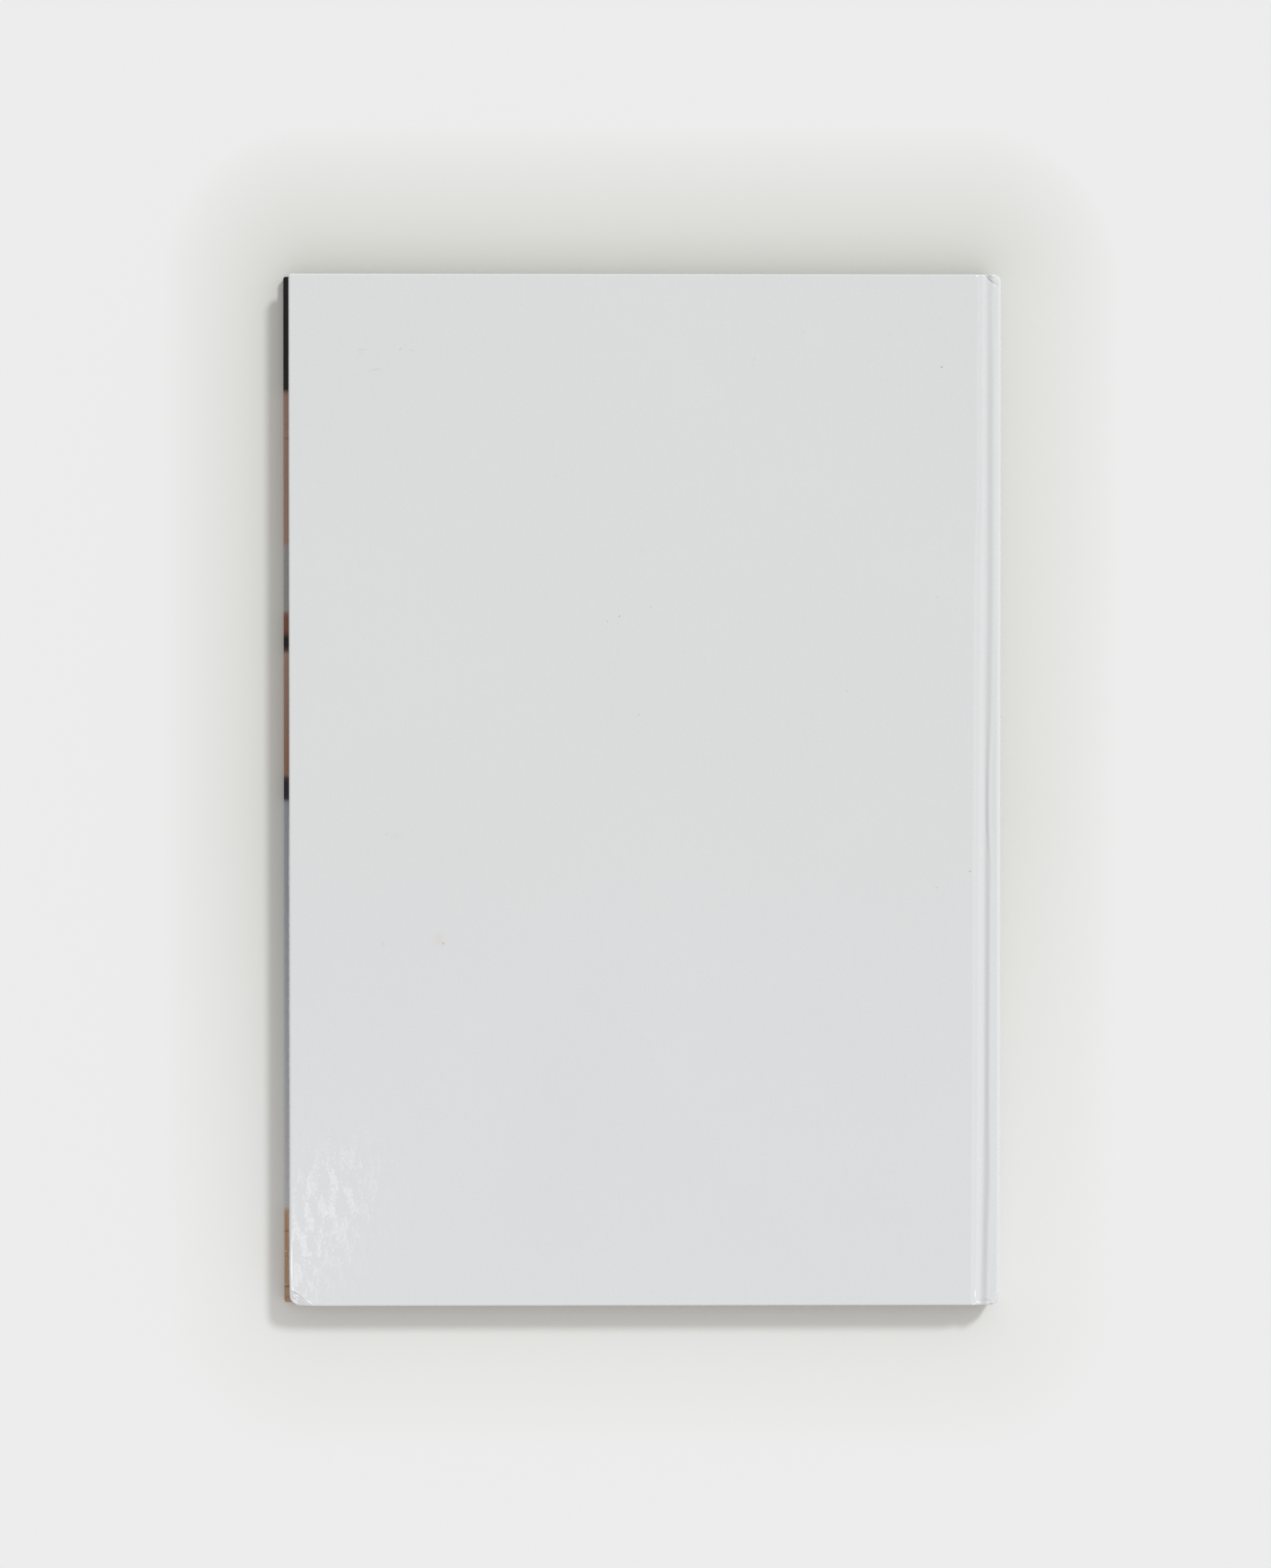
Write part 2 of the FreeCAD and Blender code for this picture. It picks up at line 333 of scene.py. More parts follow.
def makeSoftMark():
    # One smudge, stain, scratch, painted crease shade or painted highlight: 1 in the middle, fading to 0 at
    # a ragged outline
    group, (place, centre, size, turn, ragged, strength), out = startGroup(
        "softMark", ["Place", "Centre", "Size"], ["Turn", "Ragged", "Strength"], ["Mask"])
    turned = turnFlat(group, vectorMath(group, "SUBTRACT", place, centre), turn)
    away = vectorMath(group, "LENGTH", vectorMath(group, "DIVIDE", turned, size))
    uneven = calculate(group, "MULTIPLY_ADD", addNoise(group, place, 420.0, 3.0)["Fac"], ragged, away)
    fade = mapRange(group, uneven, 1.25, 0.2, curve="SMOOTHSTEP")
    plug(group, out["Mask"], calculate(group, "MULTIPLY", fade, strength))
    return group


def makeLaminateFilm():
    # The glossy film: fine streaks along the sheet, hairline scuffs and dust
    group, (place,), out = startGroup("laminateFilm", ["Place"], [], ["Height", "Scuffs", "Dust"])
    along = vectorMath(group, "MULTIPLY", turnFlat(group, place, math.radians(-4)), (1.0, 0.34, 1.0))
    streaks = addNoise(group, along, 420.0, 3.0, 0.6)["Fac"]
    peel = addNoise(group, place, 900.0, 1.0)["Fac"]
    plug(group, out["Height"], calculate(group, "MULTIPLY_ADD", peel, 0.35, streaks))
    waver = addNoise(group, place, 24.0, 5.0)
    warped = vectorMath(group, "MULTIPLY_ADD", waver["Color"], (0.03, 0.03, 0.0), place)
    cells = addNode(group, "TexVoronoi", {"Vector": warped, "Scale": 55.0},
                    feature="DISTANCE_TO_EDGE")
    thin = mapRange(group, cells.outputs["Distance"], 0.012, 0.0)
    rare = mapRange(group, waver["Fac"], 0.52, 0.68, curve="SMOOTHSTEP")
    plug(group, out["Scuffs"], calculate(group, "MULTIPLY", thin, rare))
    dots = addNode(group, "TexVoronoi", {"Vector": place, "Scale": 90.0})
    plug(group, out["Dust"], mapRange(group, dots.outputs["Distance"], 0.016, 0.006))
    return group


def makeEdgeRub():
    # Rubbed film along the folds, from the rimShare of a sheet
    group, (place, rim, amount), out = startGroup("edgeRub", ["Place"], ["Rim", "Amount"], ["Mask"])
    patches = addNoise(group, place, 260.0, 4.0, 0.7)["Fac"]
    rubbed = mapRange(group, patches, 0.42, 0.75, curve="SMOOTHSTEP")
    atRim = calculate(group, "MULTIPLY", rubbed, rim)
    plug(group, out["Mask"], calculate(group, "MULTIPLY", atRim, amount))
    return group


groups = {
    "grain": makePaperGrain(),
    "mark": makeSoftMark(),
    "film": makeLaminateFilm(),
    "rub": makeEdgeRub(),
}
print("camera, light and node groups are ready")


# ---- materials ----
def startMaterial(name, values):
    material = bpy.data.materials.new(name)
    material.use_nodes = True
    shader = material.node_tree.nodes["Principled BSDF"].inputs
    for socket, value in values.items():
        shader[socket].default_value = value
    return material, material.node_tree, shader


def addGroup(tree, name, values):
    node = tree.nodes.new("ShaderNodeGroup")
    node.node_tree = groups[name]
    for socket, value in values.items():
        plug(tree, node.inputs[socket], value)
    return node.outputs


def sheetPlace(tree):
    return addNode(tree, "Attribute", attribute_name="sheetPlace").outputs["Vector"]


def objectPlace(tree):
    return addNode(tree, "TexCoord").outputs["Object"]


def separate(tree, place):
    return addNode(tree, "SeparateXYZ", {"Vector": place}).outputs


def mixColour(tree, first, second, share, blend="MIX"):
    node = addNode(tree, "Mix", data_type="RGBA", blend_type=blend)
    for socket, value in zip([s for s in node.inputs if s.enabled], (share, first, second)):
        plug(tree, socket, value)
    return next(s for s in node.outputs if s.enabled)


def multiplyGrey(tree, colour, factor):
    grey = addNode(tree, "CombineColor", {"Red": factor, "Green": factor, "Blue": factor})
    return mixColour(tree, colour, grey.outputs["Color"], 1.0, "MULTIPLY")


def addBump(tree, shader, height, distance):
    bump = addNode(tree, "Bump", {"Height": height, "Distance": distance, "Strength": 1.0})
    tree.links.new(bump.outputs["Normal"], shader["Normal"])


def sumMarks(tree, place, marks):
    # marks: x, y, width, height in millimetres, turn in degrees, ragged, strength
    total = None
    for cx, cy, width, height, turn, ragged, strength in marks:
        mask = addGroup(tree, "mark", {
            "Place": place, "Centre": (cx * mm, cy * mm, 0), "Size": (width * mm, height * mm, 1),
            "Turn": math.radians(turn), "Ragged": ragged, "Strength": strength})["Mask"]
        total = calculate(tree, "MAXIMUM", total, mask) if total else mask
    return total


def paintMarks(tree, place, colour, look, pairs):
    for marks, tint in pairs:
        colour = mixColour(tree, colour, look[tint], sumMarks(tree, place, look[marks]))
    return colour


def startLaminate(name, look):
    # What both laminates share: the place on the flat sheet, film, grain and rubbed folds
    material, tree, shader = startMaterial(name, {"IOR": 1.5, "Specular IOR Level": look["specular"]})
    place = sheetPlace(tree)
    rim = addNode(tree, "Attribute", attribute_name="rimShare").outputs["Fac"]
    film = addGroup(tree, "film", {"Place": place})
    scales = {"Fibre Scale": look["fibreScale"], "Cloud Scale": look["cloudScale"]}
    grain = addGroup(tree, "grain", {"Place": place, **scales})
    rub = addGroup(tree, "rub", {"Place": place, "Rim": rim, "Amount": look["rub"]})["Mask"]
    addBump(tree, shader, film["Height"], look["peel"] * mm)
    return material, tree, shader, place, film, grain, rub


whiteFinish = {
    "white": (0.682, 0.689, 0.696, 1),
    "whiteLow": (0.692, 0.700, 0.719, 1),      # the tail half is a little bluer
    "stain": (0.60, 0.45, 0.26, 1),
    "smudge": (0.30, 0.30, 0.30, 1),
    "speck": (0.10, 0.095, 0.09, 1),
    # grey of the crease lines: partly dirt, partly painted shade
    "creaseDirtAndShadeGrey": (0.33, 0.335, 0.34, 1),
    "rubbed": (0.74, 0.74, 0.735, 1),
    # white of the painted highlights along the folds, partly whitened film
    "whitenedAndHighlightWhite": (0.98, 0.98, 0.985, 1),
    "stains": [
        (-59.6, -43.6, 3.0, 3.4, 0, 0.5, 0.14), (-60.2, -43.3, 1.5, 2.0, 35, 0.6, 0.11),
        (-72.3, -13.4, 2.8, 2.6, 0, 0.6, 0.08), (-50.9, -47.8, 1.8, 1.4, 30, 0.6, 0.06),
    ],
    "smudges": [
        (-77.9, 123.4, 3.4, 0.50, -8, 0.7, 0.24), (-82.0, 129.2, 3.0, 0.45, -1, 0.95, 0.22),
        (-82.4, 128.0, 1.0, 0.7, 0, 0.9, 0.12), (-67.4, 129.0, 1.8, 0.42, 10, 0.9, 0.22),
        (-70.6, 129.4, 0.9, 0.40, -33, 0.7, 0.30), (-76.0, -44.8, 1.8, 1.1, 71, 0.8, 0.12),
        (72.7, 134.0, 1.8, 0.32, 96, 0.8, 0.18), (-74.8, -12.6, 1.3, 0.5, -34, 0.7, 0.2),
        (86.7, 56.8, 0.9, 0.7, -52, 0.8, 0.16), (0.1, 70.5, 2.1, 0.4, 79, 0.9, 0.19),
        (67.3, 126.1, 2.1, 0.45, -10, 0.95, 0.15), (47.4, 134.6, 0.9, 0.45, 6, 0.7, 0.22),
        (33.0, 126.5, 0.9, 0.4, -46, 0.8, 0.2), (-35.2, 142.5, 0.8, 0.6, 58, 0.9, 0.15),
        (-82.5, 65.3, 0.9, 0.4, 54, 0.9, 0.15), (-40.3, -28.3, 0.9, 0.4, 75, 0.9, 0.14),
        (-79.4, 144.8, 1.1, 0.35, 0, 0.9, 0.15), (-16.0, 112.1, 0.8, 0.4, -27, 0.9, 0.14),
    ],
    "specks": [
        (-6.5, 51.2, 0.42, 0.40, 0, 0.4, 0.45), (-10.0, 49.7, 0.35, 0.30, 0, 0.4, 0.4),
        (2.7, 54.0, 0.40, 0.30, 0, 0.4, 0.32), (-0.8, 22.4, 0.35, 0.30, 0, 0.4, 0.35),
        (96.5, -23.7, 0.50, 0.35, -20, 0.4, 0.45), (86.6, -28.4, 0.30, 0.30, 0, 0.4, 0.4),
        (60.3, 29.3, 0.30, 0.30, 0, 0.4, 0.35), (88.0, 124.3, 0.30, 0.28, 0, 0.2, 0.85),
        (-58.2, -44.8, 0.45, 0.35, 30, 0.3, 0.4),
    ],
    # dark lines in the creases at the ends of the spine and at the crushed corner: partly dirt in the
    # creases, partly painted shade where they fall into shade
    "creaseDirtAndShade": [
        (102.1, 149.9, 2.7, 0.42, 41, 0.3, 0.8), (101.9, 151.0, 1.5, 0.45, 41, 0.3, 0.65),
        (101.2, -150.1, 1.4, 0.25, -4, 0.4, 0.4), (103.3, -151.1, 1.2, 0.30, 0, 0.4, 0.5),
        (-101.7, -147.5, 1.5, 0.35, 24, 0.3, 0.42), (-99.8, -149.0, 1.7, 0.35, 42, 0.3, 0.42),
    ],
    "whitenedAndHighlightLines": [        # painted highlights along the rim of the fore edge, the crushed corner and the spine ends, partly film whitened where it was folded over
        (-102.84, -139.0, 0.36, 9.0, 0, 0.25, 1.0), (-102.45, -146.3, 1.1, 0.26, 70, 0.3, 0.9),
        (-101.2, -147.3, 1.7, 0.22, 27, 0.3, 0.5), (-99.3, -148.7, 1.6, 0.20, 42, 0.3, 0.55),
        (-97.7, -150.15, 1.5, 0.30, 36, 0.3, 1.0), (-102.0, -148.6, 1.0, 0.42, 56, 0.5, 1.0),
        (-101.3, -149.4, 0.9, 0.40, 42, 0.5, 0.95), (-101.1, -148.4, 1.1, 0.26, 31, 0.4, 0.95),
        (-99.8, -149.3, 1.3, 0.22, 37, 0.4, 0.6), (-101.8, -149.75, 1.0, 0.24, 24, 0.4, 0.85),
        (-101.7, -150.35, 1.4, 0.20, 30, 0.4, 0.7), (98.15, -148.1, 0.24, 1.7, 0, 0.2, 0.9),
        (99.1, -150.55, 0.9, 0.26, 24, 0.4, 0.85), (97.8, -151.2, 1.1, 0.24, -20, 0.4, 0.9),
        (98.3, 151.0, 0.42, 0.30, 0, 0.2, 1.0),
    ],
    "scratches": [
        (-48.2, 18.8, 1.4, 0.25, 48, 0.6, 0.4), (-95.6, -76.2, 1.2, 0.35, 8, 0.6, 0.4),
    ],
    "specular": 0.5,
    "fibreScale": 1600.0,
    "cloudScale": 12.0,
    "rub": 0.35,
    "shine": 0.08,
    "peel": 0.024,
    "dull": 0.75,           # the film is mottled by handling, in streaks
    "dullFrom": (0.62, 0.74),
}


def makeWhiteLaminate():
    look = whiteFinish
    material, tree, shader, place, film, grain, rub = startLaminate("whiteLaminate", look)
    low = mapRange(tree, separate(tree, place)["Y"], -0.02, -0.15)
    colour = mixColour(tree, look["white"], look["whiteLow"], low)
    shade = mapRange(tree, grain["Clouds"], 0.3, 0.7, 0.992, 1.008)
    fibre = mapRange(tree, grain["Fibres"], 0.3, 0.7, 0.99, 1.008)
    colour = multiplyGrey(tree, colour, calculate(tree, "MULTIPLY", shade, fibre))
    colour = paintMarks(tree, place, colour, look, (
        ("stains", "stain"), ("smudges", "smudge"), ("specks", "speck"),
        ("creaseDirtAndShade", "creaseDirtAndShadeGrey"), ("whitenedAndHighlightLines", "whitenedAndHighlightWhite")))
    colour = mixColour(tree, colour, look["smudge"], calculate(tree, "MULTIPLY", film["Dust"], 0.25))
    plug(tree, shader["Base Color"], mixColour(tree, colour, look["rubbed"], rub))
    dull = mapRange(tree, film["Height"], *look["dullFrom"], 0.0, look["dull"])
    rough = calculate(tree, "MAXIMUM", sumMarks(tree, place, look["scratches"]), rub)
    rough = calculate(tree, "MAXIMUM", rough, dull)
    plug(tree, shader["Roughness"], mapRange(tree, rough, 0.0, 1.0, look["shine"], 0.45))
    return material


printFinish = {
    # fields of colour from the tail edge to the head edge: where each starts, in
    # millimetres, and its colours at that end and at the other
    "fields": [
        (-151.5, (0.44, 0.28, 0.18), (0.50, 0.30, 0.18)),
        (-123.8, (0.57, 0.58, 0.615), (0.35, 0.372, 0.42)),
        (-3.0, (0.02, 0.018, 0.03), (0.015, 0.013, 0.022)),
        (4.0, (0.30, 0.165, 0.11), (0.375, 0.235, 0.185)),
        (41.0, (0.010, 0.004, 0.004), (0.010, 0.004, 0.004)),
        (46.0, (0.20, 0.082, 0.05), (0.23, 0.095, 0.06)),
        (52.5, (0.34, 0.335, 0.335), (0.35, 0.34, 0.34)),
        (72.5, (0.385, 0.24, 0.183), (0.37, 0.235, 0.18)),
        (117.5, (0.008, 0.004, 0.003), (0.008, 0.004, 0.003)),
        (123.0, (0.003, 0.003, 0.004), (0.003, 0.003, 0.004)),
    ],
    # near-black of the dented places along the fore edge
    "nickDark": (0.05, 0.02, 0.012, 1),
    "chip": (0.75, 0.73, 0.70, 1),
    "nicks": [              # dark marks painted where the fore edge is dented, seen on the turn-in
        (-109.3, -130.3, 2.6, 0.45, 0, 0.5, 0.55), (-109.3, -146.7, 2.6, 0.55, 0, 0.5, 0.65),
        (-109.3, -149.9, 2.6, 1.1, 0, 0.7, 0.35), (-109.3, 103.8, 2.4, 0.4, 0, 0.5, 0.3),
    ],
    "chips": [
        (-108.6, -136.3, 0.5, 0.40, 0, 0.5, 0.7), (-108.6, -146.1, 0.5, 0.35, 0, 0.5, 0.6),
        (-108.8, -138.4, 0.35, 0.3, 0, 0.5, 0.5),
    ],
    "wave": 14.0,           # how far the fields rise and fall across the cover
    "rounds": [             # plain round shapes: x, y, radius, colour
        (-30.0, 92.0, 26.0, (0.62, 0.52, 0.34)),
        (38.0, 62.0, 13.0, (0.48, 0.30, 0.20)),
        (12.0, -58.0, 30.0, (0.34, 0.42, 0.47)),
        (48.0, -88.0, 18.0, (0.50, 0.52, 0.50)),
    ],
    "spineWhite": (0.712, 0.719, 0.727, 1),
    "rubbed": (0.62, 0.60, 0.56, 1),
    "specular": 0.27,
    "fibreScale": 1900.0,
    "cloudScale": 30.0,
    "rub": 0.3,
    "shine": 0.14,
    "peel": 0.012,
}


def makePrintedLaminate(spineStart):
    look = printFinish
    material, tree, shader, place, film, grain, rub = startLaminate("printedLaminate", look)
    split = separate(tree, place)
    # the borders of the fields are straight at the fore edge and wavy further in
    inward = mapRange(tree, split["X"], -0.100, -0.050)
    swell = addNoise(tree, place, 11.0, 1.0)["Fac"]
    rise = mapRange(tree, swell, 0.3, 0.7, -look["wave"] * mm, look["wave"] * mm)
    level = calculate(tree, "ADD", calculate(tree, "MULTIPLY", rise, inward), split["Y"])
    share = mapRange(tree, level, -halfHeight * mm, halfHeight * mm)
    ramp = addNode(tree, "ValToRGB", {"Fac": share})
    ramp.color_ramp.interpolation = "LINEAR"
    stops = ramp.color_ramp.elements
    fields = look["fields"]
    stops[0].position, stops[0].color = 0.0, (*fields[0][1], 1)
    stops[1].position, stops[1].color = 1.0, (*fields[-1][2], 1)
    for (_, _, before), (start, after, _) in zip(fields, fields[1:]):
        at = (start + halfHeight) / (2 * halfHeight)
        for position, colour in ((at - 0.0022, before), (at + 0.0022, after)):
            stops.new(position).color = (*colour, 1)
    colour = ramp.outputs["Color"]
    for cx, cy, radius, tint in look["rounds"]:
        away = vectorMath(tree, "DISTANCE", place, (cx * mm, cy * mm, 0))
        inside = mapRange(tree, away, (radius + 0.15) * mm, (radius - 0.15) * mm)
        colour = mixColour(tree, colour, (*tint, 1), inside)
    colour = paintMarks(tree, place, colour, look, (("nicks", "nickDark"), ("chips", "chip")))
    onSpine = mapRange(tree, split["X"], spineStart * mm, (spineStart + 0.3) * mm)
    colour = mixColour(tree, colour, look["spineWhite"], onSpine)
    colour = multiplyGrey(tree, colour, mapRange(tree, grain["Fibres"], 0.3, 0.7, 0.93, 1.06))
    plug(tree, shader["Base Color"], mixColour(tree, colour, look["rubbed"], rub))
    rough = calculate(tree, "MAXIMUM", film["Scuffs"], rub)
    plug(tree, shader["Roughness"], mapRange(tree, rough, 0.0, 1.0, look["shine"], 0.5))
    return material


def makePaper(name, colour, dark, fibreScale, cloudScale, roughness, relief, onSheet):
    # Endpaper, leaves and board: the same grain with other colours and scales
    material, tree, shader = startMaterial(name, {"Specular IOR Level": 0.3})
    place = sheetPlace(tree) if onSheet else objectPlace(tree)
    grain = addGroup(tree, "grain", {"Place": place, "Fibre Scale": fibreScale, "Cloud Scale": cloudScale})
    fibre = calculate(tree, "MULTIPLY", mapRange(tree, grain["Fibres"], 0.35, 0.65), 0.6)
    share = calculate(tree, "ADD", fibre, mapRange(tree, grain["Clouds"], 0.3, 0.7, 0.0, 0.5))
    plug(tree, shader["Base Color"], mixColour(tree, colour, dark, share))
    rough = mapRange(tree, grain["Fibres"], 0.3, 0.7, roughness - 0.06, roughness + 0.06)
    plug(tree, shader["Roughness"], rough)
    addBump(tree, shader, grain["Fibres"], relief * mm)
    return material


gauzeFinish = {
    "hole": (0.42, 0.40, 0.35, 1),
    "thread": (0.74, 0.72, 0.66, 1),
    "pitch": 0.9,
}


def makeGauze():
    # Open cloth: two sets of threads, stiff with size, with holes between them
    material, tree, shader = startMaterial("gauzeCloth", {"Specular IOR Level": 0.25, "Sheen Weight": 0.2})
    split = separate(tree, sheetPlace(tree))
    threads = []
    for axis in ("X", "Y"):
        turns = calculate(tree, "MULTIPLY", split[axis], math.tau / (gauzeFinish["pitch"] * mm))
        threads.append(mapRange(tree, calculate(tree, "COSINE", turns), -0.1, 0.9))
    weave = calculate(tree, "MAXIMUM", *threads)
    plug(tree, shader["Base Color"], mixColour(tree, gauzeFinish["hole"], gauzeFinish["thread"], weave))
    plug(tree, shader["Roughness"], mapRange(tree, weave, 0.0, 1.0, 0.95, 0.75))
    plug(tree, shader["Alpha"], mapRange(tree, weave, 0.0, 0.2, 0.35, 1.0))
    addBump(tree, shader, weave, 0.12 * mm)
    return material


# The floor is painted darker near the book, a painted soft shade round it, less dark towards the tail
floorFinish = {
    "near": (0.672, 0.672, 0.636, 1),       # painted shade on the floor beside the head of the book
    "shadeNearTail": (0.768, 0.770, 0.752, 1),
    "far": (0.816, 0.825, 0.819, 1),
    "start": 5.0,           # where the painted shade on the floor starts to grow lighter, and where it stops
    "reach": 45.0,
}


def makeFloor():
    material, tree, shader = startMaterial("paleFloor", {"Specular IOR Level": 0.1})
    place = objectPlace(tree)
    grain = addGroup(tree, "grain", {"Place": place, "Fibre Scale": 900.0, "Cloud Scale": 3.0})
    # painted shade: the floor is darker near the edges of the book and lighter further away
    edge = (backHigh.x * mm, halfHeight * mm, 0)
    beyond = vectorMath(tree, "SUBTRACT", vectorMath(tree, "ABSOLUTE", place), edge)
    away = vectorMath(tree, "LENGTH", vectorMath(tree, "MAXIMUM", beyond, (0.0, 0.0, 0.0)))
    further = mapRange(tree, away, floorFinish["start"] * mm, floorFinish["reach"] * mm)
    share = calculate(tree, "MULTIPLY", further, mapRange(tree, grain["Clouds"], 0.3, 0.7, 0.99, 1.01))
    towardsTail = mapRange(tree, separate(tree, place)["Y"], -0.01, -0.15)
    near = mixColour(tree, floorFinish["near"], floorFinish["shadeNearTail"], towardsTail)
    plug(tree, shader["Base Color"], mixColour(tree, near, floorFinish["far"], share))
    plug(tree, shader["Roughness"], mapRange(tree, grain["Fibres"], 0.3, 0.7, 0.75, 0.9))
    return material


frontShoulder = spinePlace(case["spineDrop"], case["cardDepth"])
materials = {
    "white": makeWhiteLaminate(),
    "printed": makePrintedLaminate(frontShoulder),
    "board": makePaper("greyBoard", (0.36, 0.325, 0.27, 1), (0.20, 0.175, 0.14, 1),
                       1100.0, 60.0, 0.85, 0.05, False),
    "endpaper": makePaper("endpaper", (0.76, 0.75, 0.71, 1), (0.68, 0.66, 0.60, 1),
                          2600.0, 22.0, 0.72, 0.008, True),
    "leaves": makePaper("bookLeaves", (0.79, 0.78, 0.75, 1), (0.66, 0.64, 0.59, 1),
                        2800.0, 40.0, 0.55, 0.006, False),
    "gauze": makeGauze(),
}
print("materials are ready:", ", ".join(material.name for material in materials.values()))

floorMesh = bpy.data.meshes.new("floor")
floorMesh.from_pydata([(x, y, 0) for x, y in ((-4, -4), (4, -4), (4, 4), (-4, 4))], [], [(0, 1, 2, 3)])
floorMesh.materials.append(makeFloor())
floor = addObject("floor", floorMesh)


# ---- the covering: one laminated sheet, made as a back half and a front half ----
joint = {
    # The pressed joint of the back cover as it has worn, from head to tail: y, then in
    # millimetres past the edge of the board, where the drop starts, the floor of the
    # groove and its depth, the top of the rise and its depth
    "stations": [
        (151.5, 1.65, 4.65, 0.46, 6.20, 0.30),
        (143.5, 1.65, 4.65, 0.48, 6.10, 0.30),
        (119.9, 1.55, 4.65, 0.52, 6.40, 0.22),
        (92.0, 1.55, 4.65, 0.54, 6.40, 0.22),
        (59.8, 0.70, 4.65, 0.64, 6.50, 0.28),
        (27.6, 0.60, 4.35, 0.72, 6.20, 0.32),
        (-0.3, 0.60, 4.20, 0.82, 5.50, 0.36),
        (-26.1, 0.40, 4.15, 0.82, 5.90, 0.32),
        (-90.5, 0.30, 4.05, 0.82, 5.70, 0.29),
        (-112.0, 0.20, 3.80, 0.86, 5.90, 0.28),
        (-133.4, 0.15, 3.45, 0.84, 5.40, 0.28),
        (-144.1, 0.10, 3.25, 0.82, 5.20, 0.30),
        (-151.5, 0.05, 3.15, 0.80, 5.10, 0.34),
    ],
    "creases": [            # line, depth and half width; a negative depth is a ridge
        ([(3.8, 151.4), (5.4, 149.9), (7.4, 148.3)], 0.14, 0.26),
        ([(4.5, 151.7), (6.2, 150.3)], 0.14, 0.30),
        ([(4.4, 3.0), (4.2, -6.0), (4.9, -16.0), (5.9, -26.0)], 0.10, 0.22),
        ([(1.4, -146.6), (1.4, -149.2)], -0.08, 0.22),
        ([(2.6, -150.5), (4.1, -149.8), (5.7, -150.2)], 0.16, 0.24),
        ([(5.6, -151.2), (7.2, -151.1)], 0.26, 0.22),
        ([(0.0, -151.1), (0.9, -151.1), (2.4, -150.7)], -0.07, 0.22),
    ],
    # how far the ends of the spine are knocked in: distance from the end, inset
    "headKnock": [(0.0, 1.0), (0.5, 0.6), (1.1, 0.25), (1.9, 0.0)],
    "tailKnock": [(0.0, 1.15), (1.2, 0.8), (2.0, 0.4), (4.0, 0.05), (6.0, 0.0)],
}
crushedCorner = {
    "reachAcross": 6.6,     # the crease round the corner, along the tail edge
    "reachUp": 4.9,         # and along the fore edge
    "power": 1.35,
    "drop": 0.75,
    "lift": 0.9,            # how far the corner is pushed up from the tail edge
    "liftReach": 1.8,
    "ridges": [             # in millimetres from the fore and tail edges
        ([(1.0, 3.4), (2.3, 1.8)], -0.13, 0.26),
        ([(1.8, 3.3), (3.4, 2.4), (4.9, 1.2)], -0.12, 0.24),
        ([(0.9, 2.3), (2.4, 1.4)], 0.10, 0.26),
        ([(3.0, 1.6), (4.4, 0.8)], -0.08, 0.24),
    ],
}


def jointDrop(x, y, roundStart):
    # How far the back covering lies below the face of the cover, x past the board
    stations = joint["stations"]
    for above, below in zip(stations, stations[1:]):
        if y >= below[0]:
            break
    share = 1 - smoothStep(below[0], above[0], y)
    start, floorX, floorDrop, riseX, riseDrop = [mix(a, b, share) for a, b in zip(above[1:], below[1:])]
    run = floorX - start
    return smoothCurve([
        (start, 0.0),
        (start + 0.28 * run, 0.20 * floorDrop),
        (start + 0.45 * run, 0.29 * floorDrop),
        (start + 0.86 * run, 0.90 * floorDrop),
        (floorX, floorDrop),
        (mix(floorX, riseX, 0.22), mix(floorDrop, riseDrop, 0.12)),
        (riseX - 0.25, riseDrop + 0.03),
        (riseX, riseDrop),
        (riseX + 0.75, riseDrop + 0.045),
        (roundStart, case["spineDrop"]),
    ], x)


def spineKnock(y, z):
    # The ends of the spine are pushed in near its top edge
    high = smoothStep(6.5, 9.6, z)
    curve = joint["headKnock"] if y > 0 else joint["tailKnock"]
    return high * smoothCurve(curve, halfHeight - abs(y))


def crushDepth(across, up):
    # The crushed corner, from the distances to the fore and the tail edge
    shape = crushedCorner
    if across > shape["reachAcross"] + 1 or up > shape["reachUp"] + 1:
        return 0.0
    inside = 1 - (max(across, 0) / shape["reachAcross"]) ** shape["power"]
    inside -= (max(up, 0) / shape["reachUp"]) ** shape["power"]
    if inside <= 0:
        return 0.0
    return shape["drop"] * inside + creaseDepth(shape["ridges"], across, up) * min(inside * 4, 1)


def cornerLift(across, up):
    fading = math.exp(-max(across, 0) / crushedCorner["liftReach"])
    return crushedCorner["lift"] * fading * smoothStep(6.0, 0.0, up)


def rimRows(thick, rimRound, turnIn):
    # One edge of a wrapped board, from the end of the turn-in to the outer face.
    # A row: distance in from the edge, depth as a share of the thickness, its place
    # among the rows of a corner, its place on the flat sheet, and if it is folded in
    rows = [(inset, 1.0) for inset in (turnIn, 11.0, 7.0, 4.5, 3.0, 2.2, 1.6, 1.1, 0.8)]
    folded = len(rows)
    bend = [(rimRound * (1 - math.sin(angle)), rimRound * (1 - math.cos(angle)) / thick)
            for angle in spread(0, math.pi / 2, 5)]
    rows += [(inset, 1 - depth) for inset, depth in bend]
    rows += [(0.0, share) for share in (0.7, 0.5, 0.3)] + bend[::-1]
    flats = [rimRound]
    for (insetA, depthA), (insetB, depthB) in zip(rows[::-1], rows[-2::-1]):
        flats.append(flats[-1] - math.hypot(insetA - insetB, (depthA - depthB) * thick))
    last = len(rows) - 1
    result = []
    for i, ((inset, depth), flat) in enumerate(zip(rows, reversed(flats))):
        order = rimRound * (i - folded) / (last - folded if i >= folded else folded)
        result.append((inset, depth, order, flat, i < folded))
    return result


def foldShare(order):
    # 1 where the sheet turns over an edge of the board, 0 a little further on
    return max(0.0, 1 - abs(order - 0.42) / 0.35)


def faceRow(inset):
    return (inset, 0.0, inset, inset, False)


